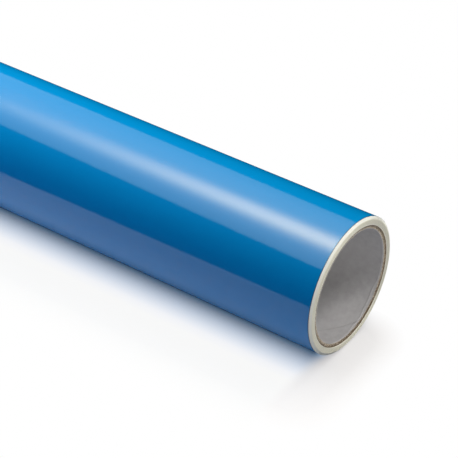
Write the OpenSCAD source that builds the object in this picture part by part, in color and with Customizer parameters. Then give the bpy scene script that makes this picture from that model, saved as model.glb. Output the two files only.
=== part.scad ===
// Roll of self-adhesive sign vinyl, wound film side out on a paperboard core.
//
// X runs along the roll, Z is up, and the origin is the middle of the core's bore.
// Angles are measured round the X axis from +Y, which is the rear, towards +Z.
// The web is one strip of three layers: release liner, adhesive and film, from the
// inside out. It starts at the front of the core, climbs over the top, goes down the
// rear and back under the core, and each lap lies on the one before it. Its tail ends
// low on the rear, where short tabs of tape hold the cut edge down. The tail is made
// in stretches, hinged one to the next on lines along the roll, so that it can unroll.

/* [Core] */
// Diameter of the bore, a standard three-inch core
core_bore_d = 76.2; // [75:0.1:78]
// Thickness of the grey paper ply that lines the bore
lining_ply_t = 0.4; // [0.3:0.05:0.5]
// Thickness of one chipboard ply
board_ply_t = 0.6; // [0.5:0.05:0.7]
// Number of chipboard plies
board_plies = 3; // [2:1:4]
// Thickness of the kraft ply that the web is wound on
cover_ply_t = 0.4; // [0.3:0.05:0.5]
// How far each end of the core lies inside the ends of the first lap
core_recess = 0.3; // [0:0.1:1]

/* [Start tape] */
// Number of strips of double-sided tape that hold the start of the web
start_strips = 3; // [2:1:4]
// Thickness of that tape
start_tape_t = 0.1; // [0.05:0.05:0.2]
// Width of the tape, measured round the core
start_tape_w = 25; // [12:1:50]
// Length of each strip, along the roll
start_strip_len = 60; // [30:5:70]
// Clear margin between the outer strips and the ends of the core
start_tape_margin = 5; // [1:1:20]

/* [Web] */
// Width of the web, which is the length of the roll
web_w = 610; // [300:5:1370]
// Thickness of the release liner
liner_t = 0.15; // [0.12:0.01:0.18]
// Thickness of the adhesive coat
adhesive_t = 0.02; // [0.02:0.005:0.03]
// Thickness of the film
film_t = 0.07; // [0.05:0.005:0.1]
// Air wound in between one lap and the next
lap_gap = 0.005; // [0.005:0.005:0.02]
// Number of whole laps below the last half lap
laps = 22; // [6:1:40]
// How far the ends of the last lap step back from the ends of the first
end_setback = 1.25; // [0:0.05:2]

/* [Tail] */
// Turn of each stretch of the tail, in degrees
stretch_a = 12; // [8:1:12]
// Number of stretches between the root of the tail and the middle of the rear
upper_stretches = 4; // [1:1:5]
// Turn of the last stretch, which ends at the cut edge
last_stretch_a = 18; // [14:1:24]
// Turn of the last stretch over which the film stays on its liner
bonded_a = 2; // [1:1:4]
// Slit between two stretches, on the side away from their hinge line
hinge_slit = 0.01; // [0.01:0.01:0.05]

/* [Tail tape] */
// Number of tape tabs
tabs = 3; // [1:1:5]
// Width of a tab, along the roll
tab_w = 25; // [12:1:50]
// Thickness of the tape
tab_t = 0.05; // [0.03:0.01:0.1]
// Turn over which a tab lies on the film, up to the cut edge
tab_on_film_a = 14; // [6:1:14]
// Turn over which a tab lies on the lap below, past the cut edge
tab_on_lap_a = 18; // [6:1:24]
// Distance between the outer tabs, as a share of the roll's length
tab_spread = 0.7; // [0.5:0.05:0.9]

/* [Hidden] */
core_bore_r = core_bore_d / 2;
board_r = core_bore_r + lining_ply_t;
cover_r = board_r + board_plies * board_ply_t;
core_r = cover_r + cover_ply_t;
core_len = web_w - 2 * core_recess;

// Each layer of the web, as its distances out from the lap's inner face
liner = [0, liner_t];
adhesive = [liner_t, liner_t + adhesive_t];
film = [liner_t + adhesive_t, liner_t + adhesive_t + film_t];
web_t = film[1];
lap_pitch = web_t + lap_gap;

// The spiral is made of half turns with two centres. The upper ones are round the
// roll's axis and the lower ones round a line half a pitch in front of it, so that
// each lower half ends one pitch further out, where the next lap starts.
lower_shift = lap_pitch / 2;
full_turn = 360;
half_turn = 180;
arc_facets = 180;
// The thin sheets of the tail are drawn as flats, each over this turn in degrees
flat_a = 1;
// How far a cutting shape runs past what it cuts, in mm or degrees
cut_margin = 1;

stretches = upper_stretches + 2;
stretch_ids = [1:stretches];
tail_root_a = upper_stretches * stretch_a;
tail_end_a = stretch_start(stretches) - last_stretch_a;
outer_r = lap_r(laps, true) + web_t;
slit_a = hinge_slit / outer_r * half_turn / PI;
peel_a = stretch_start(stretches) - bonded_a;
tab_step_a = tab_t / outer_r * half_turn / PI;

// Inner radius of a half turn of lap k, from that half's own centre
function lap_r(k, lower) = core_r + k * lap_pitch + (lower ? lower_shift : 0);

// Half the length of lap k: the ends of the wound web are slightly domed
function lap_half_len(k) = web_w / 2 - end_setback * pow(k / laps, 2);
function half_lap_len(k, lower) = lap_half_len(k + (lower ? 0.5 : 0));

// Angle at which stretch i of the tail starts, at its hinge line
function stretch_start(i) = (upper_stretches + 1 - i) * stretch_a;
function stretch_end(i) = i < stretches ? stretch_start(i + 1) + slit_a : tail_end_a;

// Turns a revolved shape from the Z axis to the roll's axis
module along_roll() {
    rotate([90, 0, 90]) children();
}

// Curved sheet between two radii, from one angle to another either way round
module sheet_arc(r_in, r_out, from_a, to_a, half_len) {
    along_roll()
        rotate([0, 0, from_a])
            rotate_extrude(angle = to_a - from_a, $fn = arc_facets)
                translate([r_in, -half_len]) square([r_out - r_in, 2 * half_len]);
}

// Points along an arc, a flat's end each
function arc_points(r, from_a, to_a, flats) =
    [for (i = [0:flats]) let (a = from_a + (to_a - from_a) * i / flats) r * [cos(a), sin(a)]];

// The same sheet as a row of narrow flats, for the tail's thin stretches
module sheet_flats(r_in, r_out, from_a, to_a, half_len) {
    flats = ceil(abs(to_a - from_a) / flat_a);
    along_roll()
        linear_extrude(2 * half_len, center = true)
            polygon(concat(arc_points(r_in, from_a, to_a, flats),
                           arc_points(r_out, to_a, from_a, flats)));
}

// One full ply of the core
module core_ply(r_in, thickness) {
    along_roll()
        rotate_extrude($fn = arc_facets)
            translate([r_in, -core_len / 2]) square([thickness, core_len]);
}

// Part of one layer of lap k, in its upper or its lower half
module lap_arc(layer, k, lower, from_a, to_a) {
    r = lap_r(k, lower);
    translate([0, lower ? -lower_shift : 0, 0])
        sheet_arc(r + layer[0], r + layer[1], from_a, to_a, half_lap_len(k, lower));
}

// One layer of the wound web, up to the last turn
module inner_turns(layer) {
    for (k = [0:laps - 2]) {
        lap_arc(layer, k, false, half_turn, 0);
        lap_arc(layer, k, true, full_turn, half_turn);
    }
    lap_arc(layer, laps - 1, false, half_turn, tail_root_a + slit_a);
}

// One layer of the last turn, which ends at the root of the tail
module outer_turn(layer) {
    lap_arc(layer, laps - 1, false, 0, tail_root_a);
    lap_arc(layer, laps - 1, true, full_turn, half_turn);
    lap_arc(layer, laps, false, half_turn, tail_root_a + slit_a);
}

// One layer of a stretch of the tail
module tail_layer(layer, from_a, to_a) {
    lower = from_a <= 0;
    r = lap_r(laps, lower);
    translate([0, lower ? -lower_shift : 0, 0])
        sheet_flats(r + layer[0], r + layer[1], from_a, to_a, half_lap_len(laps, lower));
}

module core_lining_ply() {
    color("#8f8b88") core_ply(core_bore_r, lining_ply_t);
}

module core_board_ply(i) {
    color("#7a6a52") core_ply(board_r + (i - 1) * board_ply_t, board_ply_t);
}

// The web presses the start tape flush into this ply, so the ply has a recess for it
module core_cover_ply() {
    color("#8c7a60") difference() {
        core_ply(cover_r, cover_ply_t);
        start_strip_set(core_r + cut_margin);
    }
}

// The strips of start tape, evenly spaced along the core, up to a given radius
module start_strip_set(r_out) {
    turn = start_tape_w / core_r * half_turn / PI;
    outer_x = core_len / 2 - start_tape_margin - start_strip_len / 2;
    for (i = [0:start_strips - 1])
        translate([outer_x * (2 * i / (start_strips - 1) - 1), 0, 0])
            sheet_arc(core_r - start_tape_t, r_out, half_turn, half_turn - turn,
                      start_strip_len / 2);
}

module start_tape() {
    color("#e6dcae") start_strip_set(core_r);
}

module wound_liner() {
    color("#e4e2d2") inner_turns(liner);
}

module wound_adhesive() {
    color("#d9dde0") inner_turns(adhesive);
}

module wound_film() {
    color("#0a6cb4") inner_turns(film);
}

module outer_liner() {
    color("#e4e2d2") outer_turn(liner);
}

module outer_adhesive() {
    color("#d9dde0") outer_turn(adhesive);
}

module outer_film() {
    color("#0a6cb4") outer_turn(film);
}

module tail_liner(i) {
    color("#e4e2d2") tail_layer(liner, stretch_start(i), stretch_end(i));
}

// On the last stretch the adhesive and the film stay down only near the hinge line
module tail_coat(layer, i) {
    tail_layer(layer, stretch_start(i), i < stretches ? stretch_end(i) : peel_a + slit_a);
}

module tail_adhesive(i) {
    color("#d9dde0") tail_coat(adhesive, i);
}

module tail_film(i) {
    color("#0a6cb4") tail_coat(film, i);
}

module peel_adhesive() {
    color("#d9dde0") tail_layer(adhesive, peel_a, tail_end_a);
}

module peel_film() {
    color("#0a6cb4") tail_layer(film, peel_a, tail_end_a);
}

// A tab lies on the film, steps down over the cut edge and lies on the lap below. It is
// cut from one thick arc: first the room for the film under it, then what stands over
// its lower part
module tail_tape(i) {
    spacing = tabs > 1 ? web_w * tab_spread / (tabs - 1) : 0;
    lap_face_r = outer_r - lap_pitch + lap_gap;
    face_r = outer_r + tab_t;
    color("#f0ead0")
        translate([(i - (tabs + 1) / 2) * spacing, -lower_shift, 0])
            difference() {
                sheet_arc(lap_face_r, face_r, tail_end_a + tab_on_film_a,
                          tail_end_a - tab_on_lap_a, tab_w / 2);
                sheet_arc(lap_face_r - cut_margin, outer_r, tail_end_a,
                          tail_end_a + tab_on_film_a + cut_margin, tab_w);
                sheet_arc(lap_face_r + tab_t, face_r + cut_margin, tail_end_a - tab_step_a,
                          tail_end_a - tab_on_lap_a - cut_margin, tab_w);
            }
}

core_lining_ply();
for (i = [1:board_plies])
    core_board_ply(i);
core_cover_ply();
start_tape();
wound_liner();
wound_adhesive();
wound_film();
outer_liner();
outer_adhesive();
outer_film();
for (i = stretch_ids) {
    tail_liner(i);
    tail_adhesive(i);
    tail_film(i);
}
peel_adhesive();
peel_film();
for (i = [1:tabs])
    tail_tape(i);
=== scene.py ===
import math

import bmesh
import bpy
import numpy as np
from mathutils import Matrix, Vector


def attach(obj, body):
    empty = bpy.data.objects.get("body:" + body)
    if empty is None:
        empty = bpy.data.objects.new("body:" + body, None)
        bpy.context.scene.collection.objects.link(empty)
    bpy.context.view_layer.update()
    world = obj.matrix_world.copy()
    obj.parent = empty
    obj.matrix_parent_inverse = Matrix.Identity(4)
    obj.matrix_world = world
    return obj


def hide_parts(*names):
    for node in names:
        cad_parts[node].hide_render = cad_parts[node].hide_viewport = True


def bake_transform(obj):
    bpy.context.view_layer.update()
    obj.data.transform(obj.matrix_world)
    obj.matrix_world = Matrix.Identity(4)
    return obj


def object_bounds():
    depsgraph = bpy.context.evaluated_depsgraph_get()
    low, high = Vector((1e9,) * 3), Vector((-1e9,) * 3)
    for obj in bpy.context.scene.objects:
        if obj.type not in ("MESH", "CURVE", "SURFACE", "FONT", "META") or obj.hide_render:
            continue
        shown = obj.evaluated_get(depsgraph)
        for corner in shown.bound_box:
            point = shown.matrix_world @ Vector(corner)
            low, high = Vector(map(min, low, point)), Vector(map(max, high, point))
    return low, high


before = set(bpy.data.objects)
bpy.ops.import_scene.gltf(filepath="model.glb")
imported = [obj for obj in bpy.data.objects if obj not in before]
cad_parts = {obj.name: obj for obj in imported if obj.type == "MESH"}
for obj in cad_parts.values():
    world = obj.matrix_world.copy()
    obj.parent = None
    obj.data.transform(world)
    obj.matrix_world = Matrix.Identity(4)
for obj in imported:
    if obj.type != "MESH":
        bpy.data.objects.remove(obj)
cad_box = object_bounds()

scene = bpy.context.scene
scene.view_settings.view_transform = "Standard"
MM = 0.001

# ------------------------------------------------------------------ camera
# A long lens looks down on the near end of the roll from its front right corner. The
# far half of the roll runs out of view on the left.
camera_azimuth = math.radians(35.91)
camera_elevation = math.radians(36.76)
camera_place = Vector((0.74915, -0.74268, 0.68850))
camera_lens = 140.2

lens = bpy.data.cameras.new("camera")
lens.sensor_width = 36
lens.lens = camera_lens
lens.clip_start, lens.clip_end = 0.05, 50
camera = bpy.data.objects.new("camera", lens)
scene.collection.objects.link(camera)
camera.location = camera_place
camera.rotation_euler = (math.pi / 2 - camera_elevation, 0, camera_azimuth)
scene.camera = camera


# ------------------------------------------------------------------ studio
# A white vinyl floor under soft round lamps, each kept to the pieces that it is for. A
# long softbox overhead and black cards beside it are there for the gloss alone: they
# give the film its bright band and the dark ones.
class Wire:
    """A node's output. Python's operators on it add Math nodes."""

    def __init__(self, tree, socket):
        self.tree, self.socket = tree, socket

    def other(self, output):
        """Another output of the same node."""
        return Wire(self.tree, self.socket.node.outputs[output])

    def __add__(self, term):
        return self.tree.maths("ADD", self, term)

    def __radd__(self, term):
        return self.tree.maths("ADD", term, self)

    def __sub__(self, term):
        return self.tree.maths("SUBTRACT", self, term)

    def __rsub__(self, term):
        return self.tree.maths("SUBTRACT", term, self)

    def __mul__(self, term):
        return self.tree.maths("MULTIPLY", self, term)

    def __rmul__(self, term):
        return self.tree.maths("MULTIPLY", term, self)

    def __truediv__(self, term):
        return self.tree.maths("DIVIDE", self, term)

    def __rtruediv__(self, term):
        return self.tree.maths("DIVIDE", term, self)

    def __pow__(self, term):
        return self.tree.maths("POWER", self, term)


class Tree:
    """Adds nodes to a node tree: each one's type, its settings, then its sockets."""

    def __init__(self, tree):
        self.tree = tree

    def node(self, kind, settings=None, sockets=None, output=0):
        made = self.tree.nodes.new(kind)
        for name, value in (settings or {}).items():
            if name == "stops":
                ramp = made.color_ramp
                while len(ramp.elements) < len(value):
                    ramp.elements.new(0.5)
                for element, (place, colour) in zip(ramp.elements, value):
                    element.position, element.color = place, (*colour, 1)
            else:
                setattr(made, name, value)
        for name, value in (sockets or {}).items():
            if isinstance(value, Wire):
                self.tree.links.new(value.socket, made.inputs[name])
            else:
                made.inputs[name].default_value = value
        return Wire(self, made.outputs[output]) if len(made.outputs) else None

    def maths(self, operation, *terms):
        return self.node("ShaderNodeMath", {"operation": operation}, dict(enumerate(terms)))

    def mixed(self, factor, first, second):
        """The mix of two colours, each a wire or three numbers."""
        first, second = (c if isinstance(c, Wire) else (*c, 1) for c in (first, second))
        return self.node(
            "ShaderNodeMix", {"data_type": "RGBA"}, {0: factor, 6: first, 7: second}, output=2)

    def place(self):
        """Where a point lies on a piece, in metres."""
        return self.node("ShaderNodeTexCoord", output="Object")


def seen_rays(tree):
    """1 for the rays that show a surface to the camera or in a reflection."""
    path = tree.node("ShaderNodeLightPath", output="Is Camera Ray")
    glossy, through = path.other("Is Glossy Ray"), path.other("Is Transmission Ray")
    return tree.maths("MAXIMUM", path, tree.maths("MAXIMUM", glossy, through))


def stage_piece(name, corners, material):
    """A flat piece of the studio, from its corners."""
    mesh = bpy.data.meshes.new(name)
    mesh.from_pydata(corners, [], [range(len(corners))])
    mesh.materials.append(material)
    piece = bpy.data.objects.new(name, mesh)
    scene.collection.objects.link(piece)
    return piece


def studio_material(name, shader_of):
    material = bpy.data.materials.new(name)
    material.use_nodes = True
    material.node_tree.nodes.clear()
    tree = Tree(material.node_tree)
    tree.node("ShaderNodeOutputMaterial", sockets={"Surface": shader_of(tree)})
    return material


floor_z = cad_box[0].z - 0.06 * MM
floor_half = 4.0
floor_colour, floor_in_gloss, floor_in_view = (0.40, 0.45, 0.56), 0.80, 0.80
# Painted shade makes what the roll gets back from the floor dimmer along the near half and close in
# front: where the dimming starts, where it is full, and the share of the light that it takes
dim_along, dim_in_front = (0.0, 0.32, 0.28), (52 * MM, 37 * MM, 0.4)
# Distances from the roll, with the share of the shadow that painted light lifts there, and its
# painted tint
shade_beside = (
    (16 * MM, 0.0, (0.35, 0.95, 1.70)), (24 * MM, 0.20, (0.81, 1.0, 1.27)),
    (45 * MM, 0.81, (0.99, 1.0, 1.03)), (52 * MM, 0.86, (1.0, 1.0, 0.99)),
    (75 * MM, 0.70, (1.0, 1.0, 0.99)), (105 * MM, 1.0, (1.0, 1.0, 1.0)))
shade_past_end = ((14 * MM, 0.52, (1.02, 0.995, 0.98)), (34 * MM, 1.0, (1.0, 1.0, 1.0)))
# The one gives way to the other over this stretch before the roll's end
end_from, end_to = -14 * MM, -3 * MM
# Past the roll's end the shadow has its full depth between these distances from the axis
rear_clear, front_clear = 5 * MM, 60 * MM


def lit_shade(tree, off, steps):
    """The share of the shadow that is lit, and its tint, off metres from the roll."""
    lift, tint = steps[0][1:]
    for (start, low, _), (end, high, further) in zip(steps, steps[1:]):
        part = tree.node("ShaderNodeMapRange", sockets={
            "Value": off, "From Min": start, "From Max": end})
        lift, tint = part * (high - low) + lift, tree.mixed(part, tint, further)
    return lift, tint


def floor_shader(tree):
    """White vinyl, whose shadow is lifted by painted light, in a painted tint, away from the line
    that the roll lies on.
    """
    in_view = tree.node("ShaderNodeLightPath", output="Is Camera Ray")
    colour = tree.mixed(seen_rays(tree), floor_colour, (floor_in_gloss,) * 3)
    place = tree.node("ShaderNodeSeparateXYZ", sockets={0: tree.place()})
    dims = [
        tree.node("ShaderNodeMapRange", sockets={
            "Value": off, "From Min": start, "From Max": full, "To Max": share})
        for off, (start, full, share) in (
            (place, dim_along), (place.other("Y") * -1, dim_in_front))]
    colour = tree.mixed(tree.maths("MAXIMUM", *dims), colour, (0.0, 0.0, 0.0))
    colour = tree.mixed(in_view, colour, (floor_in_view,) * 3)
    along, across = tree.maths("ABSOLUTE", place) - cad_box[1].x, place.other("Y")
    beside = tree.maths("MAXIMUM", across * 4, across * -1)
    past_end = tree.maths("MAXIMUM", along, 0)
    clear = tree.maths("MAXIMUM", across - rear_clear, across * -1 - front_clear)
    clear = tree.maths("MAXIMUM", clear, 0)
    round_end = tree.maths("SQRT", past_end * past_end + clear * clear)
    lift, tint = lit_shade(tree, beside, shade_beside)
    end_lift, end_tint = lit_shade(tree, round_end, shade_past_end)
    at_end = tree.node("ShaderNodeMapRange", {"interpolation_type": "SMOOTHSTEP"}, {
        "Value": along, "From Min": end_from, "From Max": end_to})
    lift, tint = lift + (end_lift - lift) * at_end, tree.mixed(at_end, tint, end_tint)
    return tree.node("ShaderNodeMixShader", sockets={
        0: lift * in_view,
        1: tree.node("ShaderNodeBsdfDiffuse", sockets={"Color": colour}),
        2: tree.node("ShaderNodeEmission", sockets={"Color": tint, "Strength": 1.0})})


floor = stage_piece(
    "floor",
    [(x * floor_half, y * floor_half, floor_z) for x, y in ((-1, -1), (1, -1), (1, 1), (-1, 1))],
    studio_material("white floor", floor_shader))

world_fill = 0.02
world = bpy.data.worlds.new("white studio")
world.use_nodes = True
world.node_tree.nodes.clear()
air = Tree(world.node_tree)
air_seen = seen_rays(air)
air.node("ShaderNodeOutputWorld", sockets={"Surface": air.node(
    "ShaderNodeBackground",
    sockets={"Color": (1, 1, 1, 1), "Strength": air_seen * (1 - world_fill) + world_fill})})
scene.world = world

softbox_z = 1.0
softbox_corners = [(-2.4, 2.64), (1.0, 1.015), (1.0, -1.61), (-2.4, 0.25)]
# Its cloth glows evenly, more round the middle, and most at the bulb's spot
softbox_middle = (-0.05, 0.02)
softbox_even = 0.75
softbox_glow, softbox_glow_size = 1.6, 0.7
softbox_spot, softbox_spot_sizes = 11.0, (0.30, 0.160)
softbox_tint, spot_tint = (1.0, 1.0, 0.97), (1.0, 0.77, 0.45)


def softbox_shader(tree):
    """Lit cloth, warmer and brighter at the spot."""
    place = tree.node("ShaderNodeSeparateXYZ", sockets={0: tree.place()})
    across, along = place - softbox_middle[0], place.other("Y") - softbox_middle[1]

    def hump(height, size_across, size_along):
        spread = across * across / size_across**2 + along * along / size_along**2
        return height * tree.maths("EXPONENT", spread * -0.5)

    even = hump(softbox_glow, softbox_glow_size, softbox_glow_size) + softbox_even
    spot = hump(softbox_spot, *softbox_spot_sizes)
    return tree.node("ShaderNodeEmission", sockets={
        "Color": tree.mixed(spot / (spot + even), softbox_tint, spot_tint),
        "Strength": spot + even})


def gloss_only(piece):
    """Leaves a stage piece to reflections alone."""
    piece.visible_camera = piece.visible_diffuse = piece.visible_shadow = False
    piece.visible_transmission = piece.visible_volume_scatter = False


softbox = stage_piece(
    "softbox",
    [(x, y, softbox_z) for x, y in softbox_corners],
    studio_material("softbox cloth", softbox_shader))
gloss_only(softbox)

black_card = studio_material("black card", lambda tree: tree.node(
    "ShaderNodeBsdfDiffuse", sockets={"Color": (0.0, 0.0, 0.0, 1)}))
# Each card leans from a line on the floor to the softbox's edge on its own side
front_foot = [(-1.70, 0.34), (1.0, -0.57)]
rear_foot = [(-3.0, 1.2), (1.4, 0.25)]
for card_name, foot, top in (
        ("front_card", front_foot, (softbox_corners[3], softbox_corners[2])),
        ("rear_card", rear_foot, (softbox_corners[0], softbox_corners[1]))):
    card = stage_piece(
        card_name,
        [(*foot[0], floor_z), (*foot[1], floor_z), (*top[1], softbox_z), (*top[0], softbox_z)],
        black_card)
    gloss_only(card)
card = stage_piece(
    "rear_floor_card",
    [(*spot, floor_z + 1 * MM)
     for spot in ((-3.0, 0.05), (1.4, 0.05), rear_foot[1], rear_foot[0])],
    black_card)
gloss_only(card)


def lamp(name, place, aim, size, watts, colour=(1, 1, 1)):
    """A soft round lamp, seen neither itself nor in the gloss, with a list for what it lights."""
    light = bpy.data.lights.new(name, "AREA")
    light.shape = "DISK"
    light.size, light.energy, light.color = size, watts, colour
    made = bpy.data.objects.new(name, light)
    scene.collection.objects.link(made)
    made.location = place
    made.rotation_euler = (Vector(aim) - Vector(place)).to_track_quat("-Z", "Y").to_euler()
    made.visible_glossy = made.visible_camera = False
    made.light_linking.receiver_collection = bpy.data.collections.new(name)
    return made


def shade_from(light, piece, state="EXCLUDE"):
    """Keeps a lamp off a piece, or with INCLUDE on the pieces named so and no others."""
    lit = light.light_linking.receiver_collection
    lit.objects.link(piece)
    lit.collection_objects[-1].light_linking.link_state = state


# Places, what the lamps point at, and sizes in metres, then watts and colour
lamp_above = lamp("lamp_above", (-1.3, 0.40, 1.37), (0, 0, 0), 1.1, 60)
lamp_web_end = lamp("lamp_web_end", (1.0, 0.8, 1.5), (0.3, 0, 0), 0.8, 40)
lamp_web_fill = lamp("lamp_web_fill", (1.2, -0.9, 0.35), (0.3, 0, 0), 0.8, 5.5)
lamp_bore_high = lamp("lamp_bore_high", (1.1, 0.65, 1.47), (0.3, 0, 0), 0.8, 28)
lamp_bore_low = lamp("lamp_bore_low", (1.5, -1.0, 0.1), (0.3, 0, 0), 0.8, 20.5)
lamp_film_fill = lamp(
    "lamp_film_fill", (-0.6, -0.87, 0.53), (0, 0, 0), 0.8, 2.05, (0.10, 0.42, 1.0))
lamp_floor = lamp("lamp_floor", (0, 0.2, 2.4), (0, 0.2, 0), 4.5, 135)
shade_from(lamp_above, floor)
shade_from(lamp_bore_high, floor)
shade_from(lamp_bore_low, floor)
shade_from(lamp_floor, floor, "INCLUDE")


# ------------------------------------------------------------------ core lining
# The bore's inner face is a ply of grey paper, wound as a helix with its edges butted.
# Cutting the core to length has lifted a wavy crease in the paper just inside each mouth.
core_length = 608.4 * MM
bore_r = 38.1 * MM
lining_t = 0.4 * MM
lining_pitch = 167 * MM
lining_gap = 0.2 * MM
lining_steps = 360
lining_seam_turn = 0.162
crease_middle, crease_spread = math.radians(-40), 1.3
crease_depth, crease_wave, crease_height = 1.2 * MM, 1.0 * MM, 0.19 * MM
crease_width, mouth_flare = 0.28 * MM, 0.10 * MM
far_mouth_turned = 2.0
mouth_rows = np.array([*np.arange(0, 3.6, 0.18), 4.0, 5.5]) * MM


def finish_of(name, sockets_of):
    """A material whose Principled shader gets the sockets that sockets_of(tree) returns."""
    return studio_material(
        name, lambda tree: tree.node("ShaderNodeBsdfPrincipled", sockets=sockets_of(tree)))


def noise(tree, place, scale, detail=3, roughness=0.5):
    """Noise from 0 to 1 whose features are scale metres across."""
    return tree.node("ShaderNodeTexNoise", sockets={
        "Vector": place, "Scale": 1 / scale, "Detail": detail, "Roughness": roughness})


def stretched(tree, along):
    """Places for a pattern that is drawn out that many times along the roll, in metres."""
    return tree.node("ShaderNodeMapping", {"vector_type": "POINT"}, {
        "Vector": tree.place(), "Scale": (1 / along, 1, 1)})


def bump(tree, height, depth):
    """A normal from heights of 0 to 1 that stand for 0 to depth metres."""
    return tree.node("ShaderNodeBump", sockets={"Height": height, "Distance": depth})


def lining_sockets(tree):
    fibres = noise(tree, stretched(tree, 3), 0.5 * MM, 5, 0.7)
    clouds = noise(tree, tree.place(), 4 * MM, 4, 0.6)
    shade = tree.mixed(clouds, (0.255, 0.243, 0.240), (0.435, 0.420, 0.417))
    return {
        "Base Color": tree.mixed(fibres * 0.35, shade, (0.46, 0.45, 0.44)),
        "Roughness": 0.62 + fibres * 0.2,
        "Normal": bump(tree, fibres, 0.03 * MM)}


sharp_corner = math.radians(35)
weld = 1e-6


def piece_of(name, mesh, material):
    """An object of the roll, smooth but for its corners."""
    if material is not None:
        mesh.materials.clear()
        mesh.materials.append(material)
    mesh.polygons.foreach_set("use_smooth", [True] * len(mesh.polygons))
    mesh.set_sharp_from_angle(angle=sharp_corner)
    piece = bpy.data.objects.new(name, mesh)
    scene.collection.objects.link(piece)
    return piece


def closed_mesh(name, points, faces):
    """A closed mesh with its doubles merged and its faces outward."""
    mesh = bpy.data.meshes.new(name)
    mesh.from_pydata(points, [], faces)
    shell = bmesh.new()
    shell.from_mesh(mesh)
    bmesh.ops.remove_doubles(shell, verts=shell.verts, dist=weld)
    bmesh.ops.dissolve_degenerate(shell, edges=shell.edges, dist=weld)
    bmesh.ops.holes_fill(shell, edges=[e for e in shell.edges if e.is_boundary], sides=8)
    bmesh.ops.recalc_face_normals(shell, faces=shell.faces)
    shell.to_mesh(mesh)
    shell.free()
    return mesh


def crease_at(angle):
    """How far inside the mouth the crease runs, and how much of it shows."""
    wave = np.sin(3 * angle - 2.25) + 0.5 * np.sin(8 * angle + 1.3) + 0.4 * np.sin(17 * angle)
    behind = (angle - crease_middle + math.pi) % (2 * math.pi) - math.pi
    shows = 0.2 + 0.8 * np.exp(-(behind / crease_spread) ** 4)
    return crease_depth + 0.55 * crease_wave * wave, shows


def lining_mesh():
    """The helix of paper, with close rows of points inside each mouth for the crease."""
    half = core_length / 2
    turns = (core_length + lining_pitch - lining_gap) / lining_pitch
    steps = round(turns * lining_steps)
    turn = np.linspace(0, turns, steps + 1)
    angle = 2 * math.pi * (lining_seam_turn + turn)
    low = np.clip(-half - lining_pitch + lining_gap + lining_pitch * turn, -half, half)
    high = np.clip(-half + lining_pitch * turn, -half, half)
    rows = [low]
    rows += [np.clip(-half + depth, low, high) for depth in mouth_rows]
    rows += [np.clip(half - depth, low, high) for depth in mouth_rows[::-1]]
    rows += [high, high, low]
    points = []
    for number, row in enumerate(rows):
        radius = np.full(len(turn), bore_r + (lining_t if number >= len(rows) - 2 else 0))
        if number < len(rows) - 2:
            depth = half - np.abs(row)
            crease, shows = crease_at(np.where(row > 0, angle, angle + far_mouth_turned))
            ridge = np.exp(-((depth - crease) / crease_width) ** 2)
            flare = mouth_flare * np.clip(1 - depth / crease, 0, 1)
            radius = radius - crease_height * shows * ridge + flare
        points.append(np.stack([row, radius * np.cos(angle), radius * np.sin(angle)], 1))
    points = np.stack(points, 1)
    count = len(rows)
    index = np.arange((steps + 1) * count).reshape(steps + 1, count)
    nxt = np.roll(index, -1, 1)
    quads = np.stack([index[:-1], nxt[:-1], nxt[1:], index[1:]], -1).reshape(-1, 4)
    return closed_mesh("lining", points.reshape(-1, 3).tolist(), quads.tolist())


lining = piece_of("core_lining", lining_mesh(), finish_of("grey lining paper", lining_sockets))
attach(lining, "wound_roll")
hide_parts("core_lining_ply")


# ------------------------------------------------------------------ core board
# Three plies of brown chipboard and one of kraft paper over them, each a strip glued in
# a helix. The saw that cuts the core to length leaves their ends ragged and fibrous, and
# the kraft ply a little proud of the others.
board_t, board_plies, cover_t = 0.6 * MM, 3, 0.4 * MM
cover_length = 609.9 * MM
ply_pitch = 140 * MM
ply_gap = 0.3 * MM
ply_steps = 540
fray, fray_size = 0.30 * MM, 0.9 * MM
# Painted shade darkens the plies between these distances from the axis, towards the crevice between
# core and web. Less of it is painted on the side of the rim where the light falls, which these
# places on Y and Z bound.
crevice_shade_from, crevice_shade_to = 39.1 * MM, 39.9 * MM
lit_side_y, lit_side_z = (28 * MM, 36 * MM), (-22 * MM, -5 * MM)


def radius_of(tree):
    """How far a point lies from the roll's axis, in metres."""
    place = tree.node("ShaderNodeSeparateXYZ", sockets={0: tree.place()})
    y, z = place.other("Y"), place.other("Z")
    return tree.maths("SQRT", y * y + z * z)


def board_sockets(pale, dark, fibre):
    """Fibrous board with painted shade that darkens it towards the kraft ply, less on the rim's lit
    side.
    """
    def sockets(tree):
        fibres = noise(tree, tree.place(), 1.0 * MM, 5, 0.75)
        specks = noise(tree, tree.place(), 2.6 * MM, 2)
        lit = tree.node("ShaderNodeValToRGB", {"stops": [
            (0.38, dark), (0.50, pale), (0.64, fibre)]}, {"Fac": fibres})
        # Painted shade of the crevice, lifted on the side where light falls on the rim
        crevice_shade = tree.node("ShaderNodeMapRange", sockets={
            "Value": radius_of(tree), "From Min": crevice_shade_from, "From Max": crevice_shade_to,
            "To Max": 0.95})
        place = tree.node("ShaderNodeSeparateXYZ", sockets={0: tree.place()})
        lit_side = tree.node("ShaderNodeMapRange", sockets={
            "Value": place.other("Y"), "From Min": lit_side_y[0], "From Max": lit_side_y[1]})
        lit_side = lit_side * tree.node("ShaderNodeMapRange", sockets={
            "Value": place.other("Z"), "From Min": lit_side_z[0], "From Max": lit_side_z[1]})
        crevice_shade = crevice_shade * (1 - lit_side * 0.85)
        return {
            "Base Color": tree.mixed(crevice_shade * (0.4 + specks * 1.1), lit, dark),
            "Roughness": 0.85 + fibres * 0.1,
            "Normal": bump(tree, fibres, 0.12 * MM)}
    return sockets


board_finish = finish_of("chipboard", board_sockets(
    (0.34, 0.275, 0.20), (0.07, 0.048, 0.027), (0.66, 0.58, 0.46)))
cover_finish = finish_of("kraft paper", board_sockets(
    (0.22, 0.165, 0.105), (0.115, 0.082, 0.048), (0.50, 0.41, 0.28)))


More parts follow.
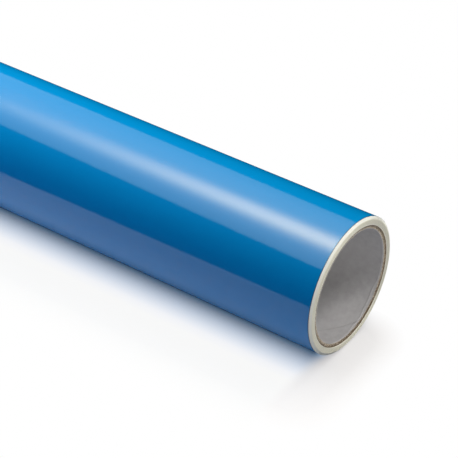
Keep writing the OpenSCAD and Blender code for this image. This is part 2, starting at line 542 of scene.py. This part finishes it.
def grown(name, tree, sizes):
    """The mesh that a Geometry Nodes tree makes from these sizes."""
    seed = bpy.data.objects.new(name, bpy.data.meshes.new(name))
    scene.collection.objects.link(seed)
    modifier = seed.modifiers.new(name, "NODES")
    modifier.node_group = tree
    for item in tree.interface.items_tree:
        if item.in_out == "INPUT" and item.name in sizes:
            modifier[item.identifier] = sizes[item.name]
    evaluated = seed.evaluated_get(bpy.context.evaluated_depsgraph_get())
    mesh = bpy.data.meshes.new_from_object(evaluated)
    bpy.data.objects.remove(seed)
    return mesh


def growing_tree(name, inputs):
    """A new Geometry Nodes tree with these named inputs, and a wire from each."""
    group = bpy.data.node_groups.new(name, "GeometryNodeTree")
    for title, kind in inputs:
        group.interface.new_socket(title, in_out="INPUT", socket_type=kind)
    group.interface.new_socket("Geometry", in_out="OUTPUT", socket_type="NodeSocketGeometry")
    tree = Tree(group)
    first = tree.node("NodeGroupInput")
    return tree, {title: first.other(title) for title, kind in inputs}


def swept_profile(tree, steps):
    """A grid that is bent into a square tube: its mesh, the share of the way along it, and
    the corner of the square, from 0 to 3. The fifth row closes it on the first."""
    grid = tree.node("GeometryNodeMeshGrid", sockets={
        "Size X": 1.0, "Size Y": 1.0, "Vertices X": steps + 1, "Vertices Y": 5})
    place = tree.node("ShaderNodeSeparateXYZ", sockets={0: tree.node("GeometryNodeInputPosition")})
    row = tree.maths("ROUND", (place.other("Y") + 0.5) * 4)
    return grid, place + 0.5, tree.maths("FLOORED_MODULO", row, 4)


def placed(tree, grid, x, y, z, material):
    """The grid with its points moved there, welded and given its material."""
    spot = tree.node("ShaderNodeCombineXYZ", sockets={0: x, 1: y, 2: z})
    moved = tree.node("GeometryNodeSetPosition", sockets={"Geometry": grid, "Position": spot})
    welded = tree.node("GeometryNodeMergeByDistance", sockets={"Geometry": moved, "Distance": weld})
    real = tree.node("GeometryNodeRealizeInstances", sockets={"Geometry": welded})
    done = tree.node("GeometryNodeSetMaterial", sockets={"Geometry": real, "Material": material})
    tree.node("NodeGroupOutput", sockets={"Geometry": done})


def ply_tree():
    """One ply: a strip wound in a helix, cut off square and frayed at both ends."""
    length, metres, count, stuff = (
        "NodeSocketFloat", "NodeSocketFloat", "NodeSocketInt", "NodeSocketMaterial")
    tree, given = growing_tree("wound ply", [
        ("Inner Radius", metres), ("Thickness", metres), ("Length", length), ("Pitch", metres),
        ("Gap", metres), ("First Turn", metres), ("Steps A Turn", count), ("Fray", metres),
        ("Fray Size", metres), ("Seed", metres), ("Material", stuff)])
    half = given["Length"] / 2
    turns = (given["Length"] + given["Pitch"] - given["Gap"]) / given["Pitch"]
    grid, share, corner = swept_profile(tree, tree.maths("ROUND", turns * given["Steps A Turn"]))
    turn = turns * share
    outer = tree.maths("COMPARE", corner, 1.5, 1)
    far = tree.maths("LESS_THAN", corner, 1.5)
    low = turn * given["Pitch"] - half - given["Pitch"] + given["Gap"]
    edge = low + far * (given["Pitch"] - given["Gap"])
    x = tree.maths("MINIMUM", tree.maths("MAXIMUM", edge, 0 - half), half)
    angle = (given["First Turn"] - turn) * (2 * math.pi)
    radius = given["Inner Radius"] + outer * given["Thickness"]
    y = radius * tree.maths("COSINE", angle)
    z = radius * tree.maths("SINE", angle)
    spot = tree.node("ShaderNodeCombineXYZ", sockets={
        0: tree.maths("SIGN", x) * 0.01 + given["Seed"], 1: y, 2: z})
    ragged = tree.node("ShaderNodeTexNoise", sockets={
        "Vector": spot, "Scale": 1 / given["Fray Size"], "Detail": 3.0})
    at_end = tree.maths("GREATER_THAN", tree.maths("ABSOLUTE", x), half - 1e-6)
    x = x - tree.maths("SIGN", x) * at_end * given["Fray"] * ragged
    placed(tree, grid, x, y, z, given["Material"])
    return tree.tree


wound_ply = ply_tree()
ply_r = bore_r + lining_t
for number in range(1, board_plies + 2):
    covers = number > board_plies
    thickness = cover_t if covers else board_t
    made = grown("board ply", wound_ply, {
        "Inner Radius": ply_r, "Thickness": thickness,
        "Length": cover_length if covers else core_length,
        "Pitch": ply_pitch, "Gap": ply_gap, "First Turn": 0.31 * number,
        "Steps A Turn": ply_steps, "Fray": fray, "Fray Size": fray_size,
        "Seed": 3.7 * number, "Material": cover_finish if covers else board_finish})
    ply = piece_of("core_cover" if covers else f"core_board_{number}", made, None)
    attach(ply, "wound_roll")
    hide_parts("core_cover_ply" if covers else f"core_board_ply_{number}")
    ply_r += thickness
core_r = ply_r


def fibre_tree():
    """Short bent fibres, strewn over both cut ends."""
    number = "NodeSocketFloat"
    tree, given = growing_tree("cut fibres", [
        ("Count", "NodeSocketInt"), ("End", number), ("Inner Radius", number),
        ("Outer Radius", number), ("Length", number), ("Thickness", number),
        ("Seed", "NodeSocketInt"), ("Material", "NodeSocketMaterial")])

    def chance(low, high, salt):
        return tree.node("FunctionNodeRandomValue", {"data_type": "FLOAT"}, {
            2: low, 3: high, "Seed": given["Seed"] + salt}, output=1)

    angle = chance(0, 2 * math.pi, 1)
    radius = chance(given["Inner Radius"], given["Outer Radius"], 2)
    side = tree.maths("GREATER_THAN", chance(-1, 1, 3), 0) * 2 - 1
    spot = tree.node("ShaderNodeCombineXYZ", sockets={
        0: side * given["End"], 1: radius * tree.maths("COSINE", angle),
        2: radius * tree.maths("SINE", angle)})
    strewn = tree.node("GeometryNodePoints", sockets={"Count": given["Count"], "Position": spot})
    line = tree.node("GeometryNodeCurvePrimitiveBezierSegment", sockets={
        "Resolution": 4, "Start": (-0.5, 0, 0), "Start Handle": (-0.2, 0.25, 0.1),
        "End Handle": (0.2, 0.25, -0.1), "End": (0.5, 0, 0)})
    ring = tree.node("GeometryNodeCurvePrimitiveCircle", {"mode": "RADIUS"}, {
        "Resolution": 4, "Radius": given["Thickness"] / given["Length"] / 2})
    fibre = tree.node("GeometryNodeCurveToMesh", sockets={
        "Curve": line, "Profile Curve": ring, "Fill Caps": True})
    turned = tree.node("FunctionNodeEulerToRotation", sockets={0: tree.node(
        "ShaderNodeCombineXYZ", sockets={0: chance(0, 6.28, 4), 1: chance(-0.25, 0.25, 5),
                                         2: math.pi / 2 + chance(-0.25, 0.25, 6)})})
    around = tree.node("FunctionNodeEulerToRotation", sockets={0: tree.node(
        "ShaderNodeCombineXYZ", sockets={0: chance(0, 6.28, 7)})})
    lying = tree.node("FunctionNodeRotateRotation", {"rotation_space": "GLOBAL"}, {
        0: turned, 1: around})
    size = given["Length"] * chance(0.4, 1.0, 8)
    laid = tree.node("GeometryNodeInstanceOnPoints", sockets={
        "Points": strewn, "Instance": fibre, "Rotation": lying, "Scale": size})
    real = tree.node("GeometryNodeRealizeInstances", sockets={"Geometry": laid})
    done = tree.node("GeometryNodeSetMaterial", sockets={
        "Geometry": real, "Material": given["Material"]})
    tree.node("NodeGroupOutput", sockets={"Geometry": done})
    return tree.tree


def fibre_sockets(tree):
    tone = noise(tree, tree.place(), 1.1 * MM, 3)
    return {
        "Base Color": tree.mixed(tone, (0.16, 0.11, 0.06), (0.85, 0.76, 0.62)),
        "Roughness": 0.8 + tone * 0.15}


fibres = piece_of("core_fibres", grown("cut fibres", fibre_tree(), {
    "Count": 1500, "End": core_length / 2 + 0.12 * MM, "Inner Radius": bore_r + 0.3 * MM,
    "Outer Radius": core_r - 0.05 * MM, "Length": 1.8 * MM, "Thickness": 0.15 * MM,
    "Seed": 11, "Material": finish_of("board fibre", fibre_sockets)}), None)
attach(fibres, "wound_roll")


# ------------------------------------------------------------------ start tape
# Strips of double-sided tape hold the start of the web to the core. They lie pressed into
# the kraft ply, and the web hides them.
def start_tape_sockets(tree):
    crepe = noise(tree, stretched(tree, 4), 0.8 * MM, 3)
    return {
        "Base Color": tree.mixed(crepe, (0.70, 0.64, 0.40), (0.80, 0.74, 0.50)),
        "Roughness": 0.35 + 0.2 * crepe,
        "Normal": bump(tree, crepe, 0.02 * MM)}


start_tape = bpy.data.objects["start_tape"]
start_tape.material_slots[0].material = finish_of("double-sided tape", start_tape_sockets)


# ------------------------------------------------------------------ wound web
# One strip 610 mm wide, wound film side out: paper liner, a coat of adhesive and blue
# film. Each lap lies on the one before. The ends of most laps are flush, and those of the
# last ones step back a little more each time.
web_half = 305 * MM
setback, flush_share = 1.0 * MM, 0.70
laps = 22
layer_faces = {
    "liner": (0, 0.15 * MM), "adhesive": (0.15 * MM, 0.17 * MM), "film": (0.17 * MM, 0.24 * MM)}
lap_pitch = 0.245 * MM
web_steps = 240
end_wander, start_back, start_turns = 0.03 * MM, 0.15 * MM, 1.6
edges_back = {"liner": 0.0, "adhesive": 0.03 * MM, "film": 0.02 * MM}
# The wound laps end at this angle, in degrees, and the tail's first piece goes on from it
tail_root = 54.0
# Painted shade darkens the film near its edge, which is also rougher there, between these distances
# from it
edge_shade_from, edge_shade_to = 1.1 * MM, 0.3 * MM


def liner_sockets(tree):
    fibres = noise(tree, stretched(tree, 2), 0.4 * MM, 4, 0.65)
    clouds = noise(tree, tree.place(), 6 * MM, 3)
    shade = tree.mixed(clouds, (0.79, 0.745, 0.58), (0.85, 0.81, 0.645))
    # Painted highlights: the ends of the first laps, and of the last laps that step back, are
    # painted paler as if lit
    first_laps_highlight = tree.node("ShaderNodeMapRange", {"interpolation_type": "SMOOTHSTEP"}, {
        "Value": radius_of(tree), "From Min": core_r + 0.9 * MM, "From Max": core_r + 0.2 * MM})
    last_laps_highlight = tree.node("ShaderNodeMapRange", {"interpolation_type": "SMOOTHSTEP"}, {
        "Value": radius_of(tree), "From Min": core_r + (flush_share - 0.03) * laps * lap_pitch,
        "From Max": core_r + (flush_share + 0.07) * laps * lap_pitch})
    shade = tree.mixed(first_laps_highlight * 0.9, shade, (0.97, 0.94, 0.82))
    shade = tree.mixed(last_laps_highlight * 0.8, shade, (0.90, 0.90, 0.84))
    return {
        "Base Color": tree.mixed(fibres * 0.4, shade, (0.60, 0.57, 0.46)),
        "Roughness": 0.55 + 0.2 * fibres,
        "Normal": bump(tree, fibres, 0.02 * MM)}


def adhesive_sockets(tree):
    tack = noise(tree, tree.place(), 1.2 * MM, 3)
    return {
        "Base Color": tree.mixed(tack, (0.67, 0.68, 0.67), (0.75, 0.76, 0.75)),
        "Roughness": 0.16 + 0.2 * tack,
        "Normal": bump(tree, tack, 0.02 * MM)}


def film_sockets(tree):
    ripple = noise(tree, stretched(tree, 5), 4 * MM, 2)
    peel = noise(tree, tree.place(), 1.6 * MM, 2)
    grain = noise(tree, tree.place(), 0.35 * MM, 2)
    facing = tree.node("ShaderNodeSeparateXYZ", sockets={
        0: tree.node("ShaderNodeNewGeometry", output="True Normal")})
    cut = tree.maths("GREATER_THAN", tree.maths("ABSOLUTE", facing), 0.7)
    cut = cut * tree.maths("LESS_THAN", radius_of(tree), core_r + (laps - 0.6) * lap_pitch)
    colour = tree.mixed(ripple, (0.001, 0.316, 0.712), (0.001, 0.330, 0.740))
    along = tree.maths("ABSOLUTE", tree.node("ShaderNodeSeparateXYZ", sockets={0: tree.place()}))
    # Painted shade along the film's edge, which is also made rougher
    edge_shade = tree.node("ShaderNodeMapRange", {"interpolation_type": "SMOOTHSTEP"}, {
        "Value": along, "From Min": web_half - setback - edge_shade_from,
        "From Max": web_half - setback - edge_shade_to})
    colour = tree.mixed(edge_shade, colour, (0.010, 0.085, 0.165))
    return {
        "Base Color": tree.mixed(cut, colour, (0.62, 0.60, 0.50)),
        "Roughness": 0.085 + 0.03 * grain + 0.3 * edge_shade,
        "IOR": 1.5,
        "Normal": bump(tree, ripple + peel * 0.7, 0.012 * MM)}


web_finishes = {
    "liner": finish_of("release liner", liner_sockets),
    "adhesive": finish_of("adhesive", adhesive_sockets),
    "film": finish_of("blue vinyl film", film_sockets)}


def web_tree():
    """One layer of the web: half turns round two lines, each lap a pitch further out."""
    number, stuff = "NodeSocketFloat", "NodeSocketMaterial"
    tree, given = growing_tree("wound web", [
        ("From Turn", number), ("To Turn", number), ("Steps", "NodeSocketInt"),
        ("Core Radius", number), ("Lap Pitch", number), ("Inner Face", number),
        ("Outer Face", number), ("Half Width", number), ("Setback", number),
        ("Flush Share", number), ("Laps", number), ("Edge Back", number), ("Lead", number),
        ("Start Back", number), ("Wander", number), ("Seed", number), ("Material", stuff)])
    grid, share, corner = swept_profile(tree, given["Steps"])
    turn = given["From Turn"] + (given["To Turn"] - given["From Turn"]) * share
    half_turn = tree.maths("FLOOR", turn * 2)
    lower = tree.maths("FLOORED_MODULO", half_turn, 2)
    outer = tree.maths("COMPARE", corner, 1.5, 1)
    side = tree.maths("LESS_THAN", corner, 1.5) * 2 - 1
    height = given["Inner Face"] + outer * (given["Outer Face"] - given["Inner Face"])
    radius = given["Core Radius"] + half_turn * given["Lap Pitch"] / 2 + height
    angle = math.pi - turn * (2 * math.pi)
    y = radius * tree.maths("COSINE", angle) - lower * given["Lap Pitch"] / 2
    z = radius * tree.maths("SINE", angle)
    covered = tree.maths("LESS_THAN", turn, given["Laps"] - 0.55) * given["Lead"]
    out = (turn + height / given["Lap Pitch"] + covered) / given["Laps"]
    past = tree.maths("MAXIMUM", out - given["Flush Share"], 0) / (1 - given["Flush Share"])
    drift = tree.node("ShaderNodeTexNoise", {"noise_dimensions": "1D"}, {
        "W": turn * 1.37 + side * 40 + given["Seed"], "Scale": 1.0, "Detail": 1.0})
    half = (
        given["Half Width"] - given["Setback"] * past ** 1.15 - given["Edge Back"]
        - given["Start Back"] * tree.maths("MAXIMUM", 1 - turn / start_turns, 0)
        - given["Wander"] * drift)
    placed(tree, grid, side * half, y, z, given["Material"])
    return tree.tree


wound_web = web_tree()


def turn_at(angle):
    """How many turns from its start the last lap's web has made at an angle."""
    return laps + (180 - angle) / 360


def web_piece(name, layer, from_turn, to_turn, steps):
    """A stretch of one layer of the web, between two turns from its start."""
    made = grown(name, wound_web, {
        "From Turn": from_turn, "To Turn": to_turn, "Steps": steps, "Core Radius": core_r,
        "Lap Pitch": lap_pitch, "Inner Face": float(layer_faces[layer][0]),
        "Outer Face": layer_faces[layer][1], "Half Width": web_half, "Setback": setback,
        "Flush Share": flush_share, "Laps": float(laps), "Edge Back": edges_back[layer],
        "Lead": 0.0 if layer == "liner" else 1.0, "Start Back": start_back,
        "Wander": end_wander, "Seed": 5.0, "Material": web_finishes[layer]})
    shell = bmesh.new()
    shell.from_mesh(made)
    bmesh.ops.holes_fill(shell, edges=[e for e in shell.edges if e.is_boundary], sides=4)
    bmesh.ops.recalc_face_normals(shell, faces=shell.faces)
    shell.to_mesh(made)
    shell.free()
    piece = piece_of(name, made, None)
    shade_from(lamp_bore_high, piece)
    shade_from(lamp_bore_low, piece)
    shade_from(lamp_film_fill if layer == "film" else lamp_web_fill, piece, "INCLUDE")
    return piece


for layer in layer_faces:
    last = turn_at(tail_root)
    piece = web_piece(f"web_{layer}", layer, 0.0, last, round(last * web_steps))
    if layer != "film":
        shade_from(lamp_web_end, piece, "INCLUDE")
    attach(piece, "wound_roll")
    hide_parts(f"wound_{layer}", f"outer_{layer}")


# ------------------------------------------------------------------ tail
# The last part of the strip, low on the rear, which lifts away when vinyl is drawn off. Each layer
# is cut there into pieces, each from the middle of a stretch to the next one's across one hinge
# line, and the film's last part, held by the tabs, is one more piece with its adhesive.
stretch_middles = [54, 42, 30, 18, 6, -6]
last_fold, peel_start, peel_bent, cut_edge = -12, -13, -17, -30
stretch_bodies = ["wound_roll"] + [f"tail_stretch_{i}" for i in range(1, 7)]
steps_a_degree = 2


def web_point(angle):
    """A point of the outer face of the last lap, in the middle of the roll."""
    radius, turned = core_r + laps * lap_pitch + layer_faces["film"][1], math.radians(angle)
    return Vector((0, radius * math.cos(turned), radius * math.sin(turned)))


def tail_piece(name, layer, from_angle, to_angle, bend):
    """A piece of one layer between two angles."""
    steps = math.ceil((from_angle - to_angle) * steps_a_degree)
    piece = web_piece(name, layer, turn_at(from_angle), turn_at(to_angle), steps)
    web_point(bend[0])
    web_point(bend[1])
    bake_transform(piece)
    return piece


for layer in layer_faces:
    for i in range(1, 7):
        start, bodies = stretch_middles[i - 1], stretch_bodies[i - 1:i + 1]
        if i < 6:
            end, bend = stretch_middles[i], (start, stretch_middles[i])
        elif layer == "liner":
            end, bend = cut_edge, (start, 2 * last_fold - start)
        else:
            end, bend = peel_start, (2 * last_fold - peel_start, peel_start)
        piece = tail_piece(f"tail_{layer}_bend_{i}", layer, start, end, bend)
        # The lamp above would bleach the liner's bare face when the tail is lifted
        if layer == "liner":
            shade_from(lamp_above, piece)
            shade_from(lamp_web_end, piece, "INCLUDE")
        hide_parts(f"tail_{layer}_{i}")
for layer in ("adhesive", "film"):
    piece = tail_piece(
        f"peeling_{layer}", layer, peel_start, cut_edge,
        (peel_start, peel_bent))
    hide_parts(f"peel_{layer}")


# ------------------------------------------------------------------ tail tape
# Three short tabs of cream crepe tape that keep the cut edge from lifting on the shelf.
# Each lies half on the film and half on the lap below, and its ends are torn.
def tail_tape_sockets(tree):
    crepe = noise(tree, stretched(tree, 6), 0.7 * MM, 3)
    return {
        "Base Color": tree.mixed(crepe, (0.66, 0.57, 0.37), (0.78, 0.70, 0.50)),
        "Roughness": 0.6 + 0.2 * crepe,
        "Normal": bump(tree, crepe, 0.05 * MM)}


tab_w, tab_t, tab_places = 25 * MM, 0.05 * MM, (-213.5 * MM, 0.0, 213.5 * MM)
tab_top, tab_foot = math.radians(-16), math.radians(-48)
tooth, tooth_depth = 1.1 * MM, 0.55 * MM
crepe_pitch, crepe_height = 0.55 * MM, 0.010 * MM


def torn(across, chance):
    """How far a torn end is bitten in, at each place across it."""
    teeth = np.abs((across / tooth + chance.random()) % 1 - 0.5) * 2
    spots = np.linspace(-tab_w / 2, tab_w / 2, 24)
    return tooth_depth * teeth + np.interp(across, spots, chance.random(24)) * 0.5 * MM


def tab_mesh(middle, seed):
    """A tab bent round the roll, crimped all over and torn at both ends."""
    chance = np.random.default_rng(seed)
    across = np.linspace(-tab_w / 2, tab_w / 2, 93)
    face_r = core_r + laps * lap_pitch + layer_faces["film"][1]
    top = tab_top - torn(across, chance) / face_r
    foot = tab_foot + torn(across, chance) / face_r
    angle = top + (foot - top) * np.linspace(0, 1, 181)[:, None]
    # A tab drops over the cut edge in a short slope
    fallen = np.clip((math.radians(cut_edge) - angle) * face_r / (0.35 * MM), 0, 1)
    drop = layer_faces["film"][1] * fallen**2 * (3 - 2 * fallen)
    drift = np.interp(across, np.linspace(-tab_w / 2, tab_w / 2, 9), chance.random(9) * 4)
    wrinkle = np.sin(2 * math.pi * angle * face_r / crepe_pitch + drift)
    wrinkle = wrinkle * np.sin(angle * face_r / (1.7 * MM) + 2.0 * drift)
    inner = face_r - drop + crepe_height * (1 + wrinkle)
    rows, count = angle.shape
    sides = []
    for radius in (inner, inner + tab_t):
        y = radius * np.cos(angle) - lap_pitch / 2
        sides.append(np.stack([middle + across + 0 * angle, y, radius * np.sin(angle)], -1))
    index = np.arange(2 * rows * count).reshape(2, rows, count)
    quads = [
        np.stack([i[:-1, :-1], i[1:, :-1], i[1:, 1:], i[:-1, 1:]], -1).reshape(-1, 4)
        for i in index]
    for first, second in (
            (index[0, 0], index[1, 0]), (index[0, -1], index[1, -1]),
            (index[0, :, 0], index[1, :, 0]), (index[0, :, -1], index[1, :, -1])):
        quads.append(np.stack([first[:-1], first[1:], second[1:], second[:-1]], -1))
    points = np.concatenate([side.reshape(-1, 3) for side in sides])
    return closed_mesh("tab", points.tolist(), np.concatenate(quads).tolist())


tail_tape_finish = finish_of("crepe tape", tail_tape_sockets)
for i, middle in enumerate(tab_places, 1):
    tab = piece_of(f"tail_tab_{i}", tab_mesh(middle, 20 + i), tail_tape_finish)
    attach(tab, "film_edge")
    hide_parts(f"tail_tape_{i}")
